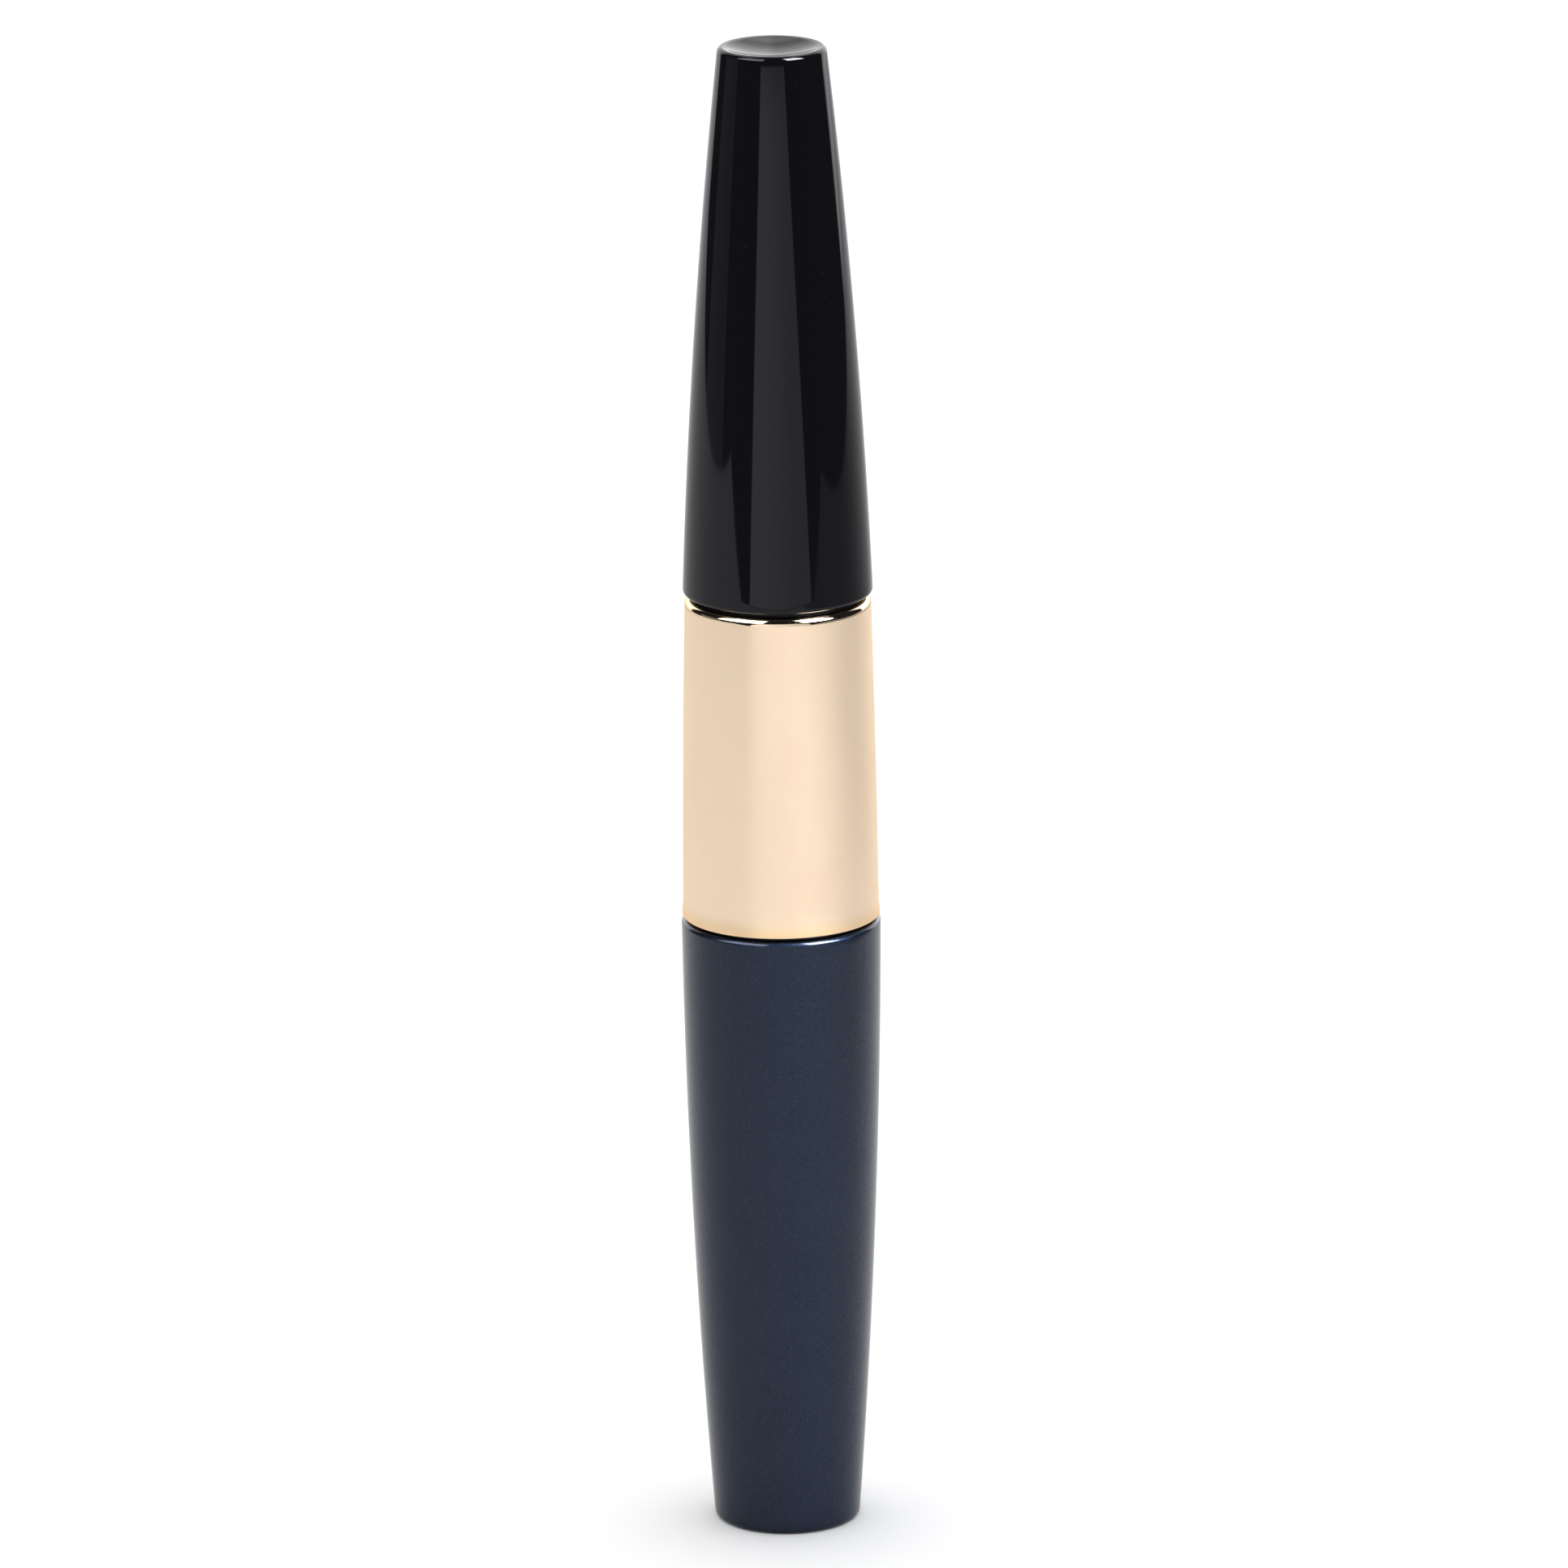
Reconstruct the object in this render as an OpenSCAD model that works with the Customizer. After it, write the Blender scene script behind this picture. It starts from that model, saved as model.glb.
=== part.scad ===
// Screw-cap mascara tube: a tapered cap that carries the wand and brush, and a short bottle
// with a threaded neck, a wiper and the mascara. Millimetres. Z is the axis, and the origin is
// the centre of the foot.

/* [Heights] */
// Height from the foot to the rim of the cap
total_h = 137; // [135:0.5:139]
// Height of the bottle's outer shell
bottle_h = 56.85; // [56:0.05:58]
// Length of the gold collar
collar_h = 29.5; // [28:0.1:31]
// Seam between the bottle and the collar, which shows the slip ring
seam_gap = 0.35; // [0.3:0.05:0.6]
// Recess between the collar and the cap's shell
reveal_gap = 0.35; // [0.3:0.05:1]

/* [Outer curves] */
// Radius of the bottle at the widest point of its flank
bottle_r = 9.02; // [8.9:0.01:9.1]
// Radius of the arc that curves the bottle's flank
bottle_arc = 820; // [780:10:900]
// Height of the widest point of the bottle's flank
bottle_mid = 63; // [60:0.5:65]
// Radius of the collar at the widest point of its flank
collar_r = 8.88; // [8.8:0.01:8.95]
// Radius of the arc that curves the collar's flank
collar_arc = 1600; // [1200:50:2000]
// Height of the widest point of the collar's flank
collar_mid = 46; // [40:1:50]
// Radius of the cap at the widest point of its flank
cap_r = 9.05; // [9:0.01:9.1]
// Radius of the arc that curves the cap's flank
cap_arc = 700; // [680:10:760]
// Height of the widest point of the cap's flank
cap_mid = 60.5; // [59:0.5:62]

/* [Edges] */
// Rounding of the bottle's foot
foot_round = 0.6; // [0.4:0.1:0.8]
// Rounding of the bottle's top edge
bottle_round = 0.45; // [0.3:0.05:0.5]
// Rounding of the collar's polished shoulder
shoulder_round = 0.6; // [0.4:0.1:0.7]
// How far the flared lip at the collar's lower edge stands out
lip_out = 0.09; // [0.05:0.01:0.1]
// Height of that flare
lip_h = 1.2; // [0.8:0.1:1.5]
// Rounding of the cap shell's lower edge
hem_round = 0.6; // [0.4:0.1:0.7]
// Rounding of the cap shell's rim
rim_round = 0.5; // [0.4:0.05:0.6]
// Depth of the dish in the cap's top
dish_depth = 0.8; // [0.5:0.1:1]

/* [Walls] */
// Wall of the bottle's outer shell
bottle_wall = 1.1; // [1:0.05:1.2]
// Height of the floor inside the bottle's outer shell
bottle_floor = 2; // [1.5:0.1:2.2]
// Wall of the cap's outer shell
cap_wall = 1.2; // [1:0.05:1.3]
// Thickness of the cap shell's top
cap_top = 2; // [1.8:0.1:3]
// Wall of the inner vial
vial_wall = 0.9; // [0.8:0.05:1]

/* [Foot label] */
// Radius of the recess in the foot
recess_r = 5; // [4.5:0.1:5.2]
// Depth of the recess in the foot
recess_depth = 0.35; // [0.3:0.05:0.5]
// Thickness of the label
label_t = 0.1; // [0.08:0.01:0.15]

/* [Neck and thread] */
// Height of the neck above the bottle's outer shell
neck_h = 10.4; // [10.2:0.1:10.6]
// Radius of the neck
neck_r = 6; // [5.9:0.05:6.1]
// Radius of the neck's bore
neck_bore_r = 4.6; // [4.5:0.05:4.7]
// Rise of the right-hand thread in one turn
thread_lead = 2.5; // [2.4:0.05:2.6]
// Turns from closed to free
thread_turns = 1.5; // [1.45:0.05:1.5]
// Height of the thread's ridge
ridge_h = 0.7; // [0.6:0.05:0.7]
// Width of the ridge where it meets the wall
ridge_root_w = 1.1; // [0.9:0.05:1.1]
// Width of the ridge's crest
ridge_crest_w = 0.5; // [0.4:0.05:0.6]
// Radial play between the neck and the cap's thread
thread_play = 0.2; // [0.15:0.05:0.2]

/* [Wand and brush] */
// Radius of the rod
rod_r = 1.95; // [1.8:0.05:2]
// Radius of the rod's thinner end, which holds the brush
rod_end_r = 1.6; // [1.5:0.05:1.7]
// Height of the rod's lower end above the foot
rod_z0 = 33; // [32:0.5:35]
// Radius of the twisted wire
wire_r = 0.7; // [0.6:0.05:0.8]
// Height of the wire's tip above the foot
wire_z0 = 7.5; // [7:0.1:8]
// Largest radius of the brush
brush_r = 3.7; // [3.4:0.1:3.8]
// Turns of the bristles around the wire
brush_turns = 7; // [6:1:9]
// Thickness of the sheet of bristles
bristle_t = 0.5; // [0.4:0.05:0.7]
// Radius of the wiper's opening
wiper_hole_r = 2.2; // [2.15:0.05:2.4]
// Height of the mascara above the foot
fill_z1 = 44; // [40:1:48]

/* [Hidden] */

// Facets of a full turn, and conical bands that make up a curved flank
turn_fn = 96;
flank_bands = 14;
// How far cutters and joined solids run past a face
extra = 1;
bite = 0.2;
// Gap between two pieces that move against each other
gap = 0.1;

// Each flank is an arc: its widest radius, the radius of the arc, the height of its widest point
bottle_flank = [bottle_r, bottle_arc, bottle_mid];
collar_flank = [collar_r, collar_arc, collar_mid];
cap_flank = [cap_r, cap_arc, cap_mid];

// Collar and cap shell
collar_z0 = bottle_h + seam_gap;
collar_z1 = collar_z0 + collar_h;
shell_z0 = collar_z1 + reveal_gap;
collar_bore_r = 7.7;
// Straight edge below the collar's flare
lip_edge_h = 0.15;

// Vial, from its floor to its flange and neck
vial_z0 = bottle_floor + 0.4;
vial_foot_r = 5.2;
vial_top_r = 7.2;
vial_floor = 1;
vial_chamfer = 0.8;
flange_z0 = bottle_h - 1.4;
flange_z1 = bottle_h - 0.1;
flange_r = 7.8;
neck_z1 = bottle_h + neck_h;
bore_z0 = bottle_h - 2.5;
shoulder_z0 = bottle_h - 5;

// Wiper
wiper_flange_r = 5.8;
wiper_flange_t = 0.6;
wiper_wall = 0.6;
wiper_sleeve_z0 = bottle_h + 1.5;
wiper_lip_z = bottle_h - 1.8;
wiper_lip_t = 0.5;
wiper_z1 = neck_z1 + wiper_flange_t;

// Slip ring: a flange in the seam, with a gap on each side, and a hub around the neck
ring_gap = 0.05;
ring_z0 = bottle_h + ring_gap;
ring_flange_z1 = collar_z0 - ring_gap;
ring_hub_z1 = bottle_h + 1.4;
ring_r = 8.45;
ring_bore_r = neck_r + 0.15;
ring_hub_r = neck_r + 0.6;

// Inner cap: a skirt around the neck, a ceiling, and a plug that holds the cap shell
skirt_z0 = collar_z0 + 0.4;
skirt_bore_r = neck_r + thread_play + ridge_h;
liner_z0 = wiper_z1 + gap;
liner_t = 0.9;
liner_r = skirt_bore_r - 0.2;
ceiling_z0 = liner_z0 + liner_t + gap;
ceiling_t = 1.5;
recess_neck_r = 7.5;
plug_h = 11;
plug_gap = 0.05;
core_r = 6.3;
plug_wall = 1.2;
boss_r = 3.4;
boss_h = 13.4;
rib_count = 4;
rib_t = 0.9;
rib_h = 9;

// Thread: the neck's ridge, and the cap's ridge half a turn away from it
male_z0 = bottle_h + 2.2;
male_z1 = bottle_h + 6.2;
female_z0 = male_z1 - thread_lead * thread_turns + ridge_root_w + gap;
female_z1 = liner_z0 - thread_lead * thread_turns - ridge_root_w / 2 - gap;
ridge_steps = 40;
ridge_fade = 30;

// Rod, wire and bristles
rod_z1 = ceiling_z0 + ceiling_t + boss_h - 1;
rod_step_z = rod_z0 + 8;
rod_taper = 1;
rod_chamfer = 0.4;
wire_grip = 7;
bristle_z0 = wire_z0 + 0.7;
bristle_z1 = rod_z0 - 1;
bristle_tip_r = 2;
bristle_heel_r = 2.6;
brush_widest = 0.68;
slices_per_turn = 10;
channel_gap = 0.3;
channel_rod_r = rod_r + channel_gap;

function flank_radius(flank, z) = flank[0] - flank[1] + sqrt(pow(flank[1], 2) - pow(z - flank[2], 2));
function vial_radius(z) =
    vial_foot_r + (vial_top_r - vial_foot_r) * (z - vial_z0) / (flange_z0 - vial_z0);
function mix(a, b, t) = a + (b - a) * t;

// Section under a flank between two heights, set in from the surface by a wall
module under_flank(flank, z0, z1, wall = 0) {
    curve = [for (i = [0:flank_bands])
        let (z = mix(z0, z1, i / flank_bands))
        [flank_radius(flank, z) - wall, z]];
    polygon(concat([[0, z0]], curve, [[0, z1]]));
}

// Cutter that rounds an outer corner at [r, z]. Up is 1 for a top corner and -1 for a bottom one
module corner_cutter(r, z, rho, up) {
    difference() {
        translate([r - rho, z - (up > 0 ? rho : extra)]) square([rho + extra, rho + extra]);
        translate([r - rho, z - up * rho]) circle(rho, $fn = 48);
    }
}

// Ring-shaped block of a turned section
module block(r0, r1, z0, z1) {
    translate([r0, z0]) square([r1 - r0, z1 - z0]);
}

module turned() {
    rotate_extrude($fn = turn_fn) children();
}

// One section of a thread ridge at an angle. Fade pulls the crest back towards the root
function ridge_section(r_root, r_crest, angle, z, fade) =
    let (side = sign(r_crest - r_root), r_top = mix(r_root, r_crest, fade))
    [for (p = [[r_root, -ridge_root_w], [r_top, -ridge_crest_w], [r_top, ridge_crest_w],
               [r_root, ridge_root_w]])
        [p[0] * cos(angle), p[0] * sin(angle), z + side * p[1] / 2]];

// Helical ridge between two heights. Its angle is 0 at height z_zero, and its ends fade out
module thread_ridge(z0, z1, z_zero, r_wall, r_crest) {
    r_root = r_wall - sign(r_crest - r_wall) * bite;
    sweep_angle = 360 * (z1 - z0) / thread_lead;
    first = 360 * (z0 - z_zero) / thread_lead;
    steps = ceil(ridge_steps * sweep_angle / 360);
    sections = [for (i = [0:steps])
        let (t = i / steps, from_end = sweep_angle * min(t, 1 - t))
        ridge_section(r_root, r_crest, first + sweep_angle * t, mix(z0, z1, t),
            min(1, 0.2 + 0.8 * from_end / ridge_fade))];
    sides = [for (i = [0:steps - 1], k = [0:3])
        let (a = 4 * i + k, b = 4 * i + (k + 1) % 4)
        each [[a, b, b + 4], [a, b + 4, a + 4]]];
    last = 4 * steps;
    ends = [[2, 1, 0], [3, 2, 0], [last, last + 1, last + 2], [last, last + 2, last + 3]];
    polyhedron([for (s = sections) each s], concat(sides, ends), convexity = 6);
}

// Outline of the brush, from its tip to its heel, with room left around it
module brush_outline(room) {
    z_wide = mix(bristle_z0, bristle_z1, brush_widest);
    polygon([
        [0, bristle_z0 - room],
        [bristle_tip_r + room, bristle_z0 - room],
        [mix(bristle_tip_r, brush_r, 0.7) + room, mix(bristle_z0, z_wide, 0.5)],
        [brush_r + room, z_wide],
        [bristle_heel_r + room, bristle_z1 + room],
        [0, bristle_z1 + room]
    ]);
}

// Inside of the vial's body, below its neck
module vial_hollow(z1) {
    z0 = vial_z0 + vial_floor;
    polygon([
        [0, z0],
        [vial_radius(z0) - vial_wall - vial_chamfer, z0],
        [vial_radius(z0 + vial_chamfer) - vial_wall, z0 + vial_chamfer],
        [vial_radius(z1) - vial_wall, z1],
        [0, z1]
    ]);
}

module bottle_shell() {
    color("#1f2c44") turned() difference() {
        under_flank(bottle_flank, 0, bottle_h);
        under_flank(bottle_flank, bottle_floor, bottle_h + extra, bottle_wall);
        corner_cutter(flank_radius(bottle_flank, foot_round), 0, foot_round, -1);
        corner_cutter(flank_radius(bottle_flank, bottle_h), bottle_h, bottle_round, 1);
        block(0, recess_r, -extra, recess_depth);
    }
}

module base_label() {
    color("#e8e6e0") turned() block(0, recess_r - gap, recess_depth - label_t, recess_depth);
}

module inner_vial() {
    color("#e6e2d8") union() {
        turned() difference() {
            union() {
                polygon([
                    [0, vial_z0],
                    [vial_foot_r - vial_chamfer, vial_z0],
                    [vial_foot_r, vial_z0 + vial_chamfer],
                    [vial_top_r, flange_z0],
                    [0, flange_z0]
                ]);
                block(0, flange_r, flange_z0, flange_z1);
                block(0, neck_r, flange_z0, neck_z1);
            }
            vial_hollow(shoulder_z0);
            polygon([
                [0, shoulder_z0],
                [vial_radius(shoulder_z0) - vial_wall, shoulder_z0],
                [neck_bore_r, bore_z0],
                [neck_bore_r, neck_z1 + extra],
                [0, neck_z1 + extra]
            ]);
        }
        thread_ridge(male_z0, male_z1, male_z0, neck_r, neck_r + ridge_h);
    }
}

module mascara_fill() {
    color("#0b0b0d") turned() difference() {
        vial_hollow(fill_z1);
        brush_outline(channel_gap);
        block(0, wire_r + channel_gap, wire_z0 - channel_gap, bristle_z0);
        block(0, channel_rod_r, bristle_z1, fill_z1 + extra);
    }
}

// Flange on the neck, a sleeve in its bore, and a funnel down to a thin lip around the rod
module wiper() {
    sleeve_r = neck_bore_r - wiper_wall;
    color("#f0eee8") turned() difference() {
        union() {
            block(0, wiper_flange_r, neck_z1, wiper_z1);
            block(0, neck_bore_r, wiper_sleeve_z0, neck_z1);
            polygon([
                [0, wiper_lip_z],
                [wiper_hole_r + wiper_lip_t, wiper_lip_z],
                [neck_bore_r, wiper_sleeve_z0],
                [0, wiper_sleeve_z0]
            ]);
        }
        polygon([
            [0, wiper_lip_z - extra],
            [wiper_hole_r, wiper_lip_z - extra],
            [wiper_hole_r, wiper_lip_z + wiper_lip_t],
            [sleeve_r, wiper_sleeve_z0 + wiper_lip_t],
            [sleeve_r, wiper_z1 + extra],
            [0, wiper_z1 + extra]
        ]);
    }
}

module slip_ring() {
    color("#0a0a0c") turned() {
        block(ring_bore_r, ring_r, ring_z0, ring_flange_z1);
        block(ring_bore_r, ring_hub_r, ring_z0, ring_hub_z1);
    }
}

module seal_liner() {
    color("#d9d9d2") turned() block(rod_r + gap, liner_r, liner_z0, liner_z0 + liner_t);
}

module cap_shell() {
    rim_r = flank_radius(cap_flank, total_h - rim_round);
    peak_r = rim_r - rim_round;
    dish_r = (pow(peak_r, 2) + pow(dish_depth, 2)) / (2 * dish_depth);
    color("#0c0c0f") turned() difference() {
        under_flank(cap_flank, shell_z0, total_h);
        under_flank(cap_flank, shell_z0 - extra, total_h - cap_top - dish_depth, cap_wall);
        corner_cutter(flank_radius(cap_flank, shell_z0), shell_z0, hem_round, -1);
        corner_cutter(rim_r, total_h, rim_round, 1);
        translate([0, total_h - dish_depth + dish_r]) circle(dish_r, $fn = 360);
    }
}

module gold_collar() {
    lip_r = flank_radius(collar_flank, collar_z0) + lip_out;
    shoulder_r = flank_radius(collar_flank, collar_z1);
    color("#e9c79b") turned() difference() {
        union() {
            under_flank(collar_flank, collar_z0, collar_z1);
            polygon([
                [0, collar_z0],
                [lip_r, collar_z0],
                [lip_r, collar_z0 + lip_edge_h],
                [flank_radius(collar_flank, collar_z0 + lip_h), collar_z0 + lip_h],
                [0, collar_z0 + lip_h]
            ]);
        }
        block(-extra, collar_bore_r, collar_z0 - extra, collar_z1 + extra);
        corner_cutter(shoulder_r, collar_z1, shoulder_round, 1);
    }
}

module inner_cap() {
    floor_z = ceiling_z0 + ceiling_t;
    plug_z1 = shell_z0 + plug_h;
    color("#18181b") union() {
        turned() difference() {
            union() {
                block(0, collar_bore_r, skirt_z0, collar_z1);
                block(0, recess_neck_r, collar_z1, shell_z0);
                under_flank(cap_flank, shell_z0, plug_z1, cap_wall + plug_gap);
            }
            block(0, skirt_bore_r, skirt_z0 - extra, ceiling_z0);
            block(boss_r, core_r, floor_z, collar_z1);
            block(0, core_r, floor_z + boss_h, collar_z1);
            under_flank(cap_flank, collar_z1, plug_z1 + extra, cap_wall + plug_wall);
            block(0, rod_r, ceiling_z0 - extra, rod_z1);
        }
        for (i = [0:rib_count - 1]) {
            rotate(360 * i / rib_count) translate([boss_r - bite, -rib_t / 2, floor_z - bite])
                cube([core_r - boss_r + 2 * bite, rib_t, rib_h + bite]);
        }
        thread_ridge(female_z0, female_z1, male_z0 + thread_lead / 2, skirt_bore_r,
            neck_r + thread_play);
    }
}

module wand_rod() {
    color("#131316") turned() difference() {
        polygon([
            [0, rod_z0],
            [rod_end_r - rod_chamfer, rod_z0],
            [rod_end_r, rod_z0 + rod_chamfer],
            [rod_end_r, rod_step_z],
            [rod_r, rod_step_z + rod_taper],
            [rod_r, rod_z1 - rod_chamfer],
            [rod_r - rod_chamfer, rod_z1],
            [0, rod_z1]
        ]);
        block(0, wire_r, rod_z0 - extra, rod_z0 + wire_grip);
    }
}

module brush_wire() {
    color("#b8babd") turned() intersection() {
        union() {
            block(0, wire_r, wire_z0 + wire_r, rod_z0 + wire_grip);
            translate([0, wire_z0 + wire_r]) circle(wire_r, $fn = 32);
        }
        block(0, wire_r + extra, wire_z0 - extra, rod_z0 + wire_grip);
    }
}

// Two sheets of bristles wound around the wire, trimmed to the brush's outline
module brush_bristles() {
    length = bristle_z1 - bristle_z0;
    slice_count = slices_per_turn * brush_turns;
    color("#060607") difference() {
        intersection() {
            translate([0, 0, bristle_z0])
                linear_extrude(height = length, twist = -360 * brush_turns, slices = slice_count)
                    square([2 * brush_r, bristle_t], center = true);
            rotate_extrude($fn = 32) brush_outline(0);
        }
        translate([0, 0, bristle_z0 - extra]) cylinder(r = wire_r, h = length + 2 * extra, $fn = 32);
    }
}

bottle_shell();
base_label();
inner_vial();
mascara_fill();
wiper();
slip_ring();
seal_liner();
cap_shell();
gold_collar();
inner_cap();
wand_rod();
brush_wire();
brush_bristles();
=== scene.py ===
# Looks of a screw-cap mascara tube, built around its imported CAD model. Blender 4.5.
import math
import random

import bpy
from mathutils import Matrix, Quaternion, Vector


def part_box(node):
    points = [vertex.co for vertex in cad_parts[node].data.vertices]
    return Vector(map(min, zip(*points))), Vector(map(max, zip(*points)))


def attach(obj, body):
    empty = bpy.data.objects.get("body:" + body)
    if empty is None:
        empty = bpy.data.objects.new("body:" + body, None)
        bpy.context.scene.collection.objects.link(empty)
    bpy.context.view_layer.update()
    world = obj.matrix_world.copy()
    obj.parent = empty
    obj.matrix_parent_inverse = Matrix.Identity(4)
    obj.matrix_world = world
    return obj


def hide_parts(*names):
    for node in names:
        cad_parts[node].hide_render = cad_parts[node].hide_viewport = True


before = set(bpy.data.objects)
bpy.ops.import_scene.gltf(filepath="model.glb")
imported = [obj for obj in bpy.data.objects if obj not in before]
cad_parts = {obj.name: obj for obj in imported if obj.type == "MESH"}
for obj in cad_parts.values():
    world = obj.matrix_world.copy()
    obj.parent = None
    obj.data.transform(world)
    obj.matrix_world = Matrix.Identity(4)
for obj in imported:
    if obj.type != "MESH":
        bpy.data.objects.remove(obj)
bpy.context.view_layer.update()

# Outlines are drawn in millimetres, as (radius, height) or (radius, height, rounding)
MM = 0.001
TURN_STEPS = 256
SLIM_TURN_STEPS = 128
ARC_STEP = math.radians(9)
SHARP_ANGLE = math.radians(32)


def span(node):
    """Lowest and highest z of a CAD node, in millimetres."""
    low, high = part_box(node)
    return low.z / MM, high.z / MM


def radius(node):
    """Largest radius of a CAD node that is turned about the axis, in millimetres."""
    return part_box(node)[1].x / MM


# ---------------------------------------------------------------- dimensions from the frame

BOTTLE_Z0, BOTTLE_Z1 = span("bottle_shell")
COLLAR_Z0, COLLAR_Z1 = span("gold_collar")
CAP_Z0, CAP_Z1 = span("cap_shell")
VIAL_Z0, NECK_Z1 = span("inner_vial")
WIPER_Z0, WIPER_Z1 = span("wiper")
RING_Z0, RING_Z1 = span("slip_ring")
LINER_Z0, LINER_Z1 = span("seal_liner")
INSERT_Z0, INSERT_Z1 = span("inner_cap")
ROD_Z0, ROD_Z1 = span("wand_rod")
WIRE_Z0, WIRE_Z1 = span("brush_wire")
BRUSH_Z0, BRUSH_Z1 = span("brush_bristles")
LABEL_Z0, LABEL_Z1 = span("base_label")
FILL_Z0, FILL_Z1 = span("mascara_fill")

# Flanks: widest radius, radius of the arc, height of the widest point
BOTTLE_FLANK = (9.02, 820, 63)
COLLAR_FLANK = (8.88, 1600, 46)
CAP_FLANK = (9.05, 700, 60.5)
FLANK_POINTS = 40

RING_GAP = 0.05
BOTTLE_WALL = 1.1
BOTTLE_FLOOR = 2
FOOT_ROUND = 0.6
BOTTLE_TOP_ROUND = 0.45
RECESS_R = 5
COLLAR_BORE_R = 7.7
SHOULDER_ROUND = 0.6
POLISH_H = 0.72
FLARE_H = 1.2
FLARE_EDGE_H = 0.15
CAP_WALL = 1.2
HEM_ROUND = 0.45
RIM_ROUND = 0.45
DISH_DEPTH = 0.8
DISH_EDGE_ROUND = 1.8
DISH_EDGE_IN = 0.2
CAP_TOP = 2
NECK_R = 6
NECK_BORE_R = 4.6
VIAL_WALL = 0.9
VIAL_CHAMFER = 0.8
VIAL_FLANGE_Z0 = BOTTLE_Z1 - 1.4
ROD_R = 1.95
ROD_END_R = 1.6
WIRE_R = 0.7
THREAD_LEAD = 2.5
THREAD_TURNS = 1.5
THREAD_GAP = 0.2
NECK_THREAD_Z0 = BOTTLE_Z1 + 2.2
NECK_THREAD_Z1 = BOTTLE_Z1 + 6.2
RIDGE_H = 0.7
RIDGE_ROOT_W = 1.1
RIDGE_CREST_W = 0.5
EDGE = 0.12
# How far the surfaces of two joined pieces stand apart, and how deep joined skins run into each other
FIT = 0.01
SINK = 0.05


def flank_radius(flank, z):
    widest, arc, z_mid = flank
    return widest - arc + math.sqrt(arc ** 2 - (z - z_mid) ** 2)


def flank_curve(flank, z0, z1, wall=0.0):
    """Points of a flank from z0 to z1, set in by a wall."""
    heights = [z0 + (z1 - z0) * i / FLANK_POINTS for i in range(FLANK_POINTS + 1)]
    return [(flank_radius(flank, z) - wall, z) for z in heights]


# ---------------------------------------------------------------- mesh tools

def rounded(outline):
    """Replaces each corner that has a rounding by an arc between its neighbours."""
    points = []
    for i, corner in enumerate(outline):
        here = Vector(corner[:2])
        rho = corner[2] if len(corner) > 2 else 0
        if not rho:
            points.append(here)
            continue
        back = (Vector(outline[i - 1][:2]) - here).normalized()
        ahead = (Vector(outline[(i + 1) % len(outline)][:2]) - here).normalized()
        half = back.angle(ahead) / 2
        centre = here + (back + ahead).normalized() * rho / math.sin(half)
        start = here + back * rho / math.tan(half) - centre
        turn = start.angle_signed(here + ahead * rho / math.tan(half) - centre)
        steps = max(2, math.ceil(abs(turn) / ARC_STEP))
        for k in range(steps + 1):
            angle = -turn * k / steps
            spoke = Vector((start.x * math.cos(angle) - start.y * math.sin(angle),
                            start.x * math.sin(angle) + start.y * math.cos(angle)))
            points.append(centre + spoke)
    return points


def lathe(outline, steps=TURN_STEPS):
    """Vertices and faces of a closed outline turned about the Z axis, with its normals outwards."""
    points = rounded(outline)
    area = sum(a.x * b.y - b.x * a.y for a, b in zip(points, points[1:] + points[:1]))
    if area < 0:
        points.reverse()
    vertices, rings = [], []
    for p in points:
        if p.x < 1e-6:
            rings.append([len(vertices)] * steps)
            vertices.append((0, 0, p.y))
            continue
        rings.append(list(range(len(vertices), len(vertices) + steps)))
        for s in range(steps):
            angle = 2 * math.pi * s / steps
            vertices.append((p.x * math.cos(angle), p.x * math.sin(angle), p.y))
    faces = []
    for low, high in zip(rings, rings[1:] + rings[:1]):
        for s in range(steps):
            t = (s + 1) % steps
            corners = list(dict.fromkeys((low[s], low[t], high[t], high[s])))
            if len(corners) > 2:
                faces.append(corners)
    return vertices, faces


def ring_strip(sections):
    """Vertices and faces of a skin over sections, which are loops with the same number of points."""
    count = len(sections[0])
    vertices = [p for section in sections for p in section]
    faces = []
    for i in range(len(sections) - 1):
        for k in range(count):
            a, b = i * count + k, i * count + (k + 1) % count
            faces.append((a, b, b + count, a + count))
    faces.append(tuple(reversed(range(count))))
    faces.append(tuple(range(len(vertices) - count, len(vertices))))
    return vertices, faces


def piece(name, parts, body, node, looks):
    """One object made from several (vertices, faces), in millimetres.

    It rides on a body and stands for a CAD node."""
    vertices, faces = [], []
    for part_vertices, part_faces in parts:
        offset = len(vertices)
        vertices += [tuple(c * MM for c in v) for v in part_vertices]
        faces += [tuple(i + offset for i in f) for f in part_faces]
    mesh = bpy.data.meshes.new(name)
    mesh.from_pydata(vertices, [], faces)
    mesh.validate()
    mesh.shade_smooth()
    mesh.set_sharp_from_angle(angle=SHARP_ANGLE)
    for look in looks:
        mesh.materials.append(look)
    made = bpy.data.objects.new(name, mesh)
    bpy.context.scene.collection.objects.link(made)
    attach(made, body)
    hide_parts(node)
    return made


# ---------------------------------------------------------------- shader tools

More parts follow.
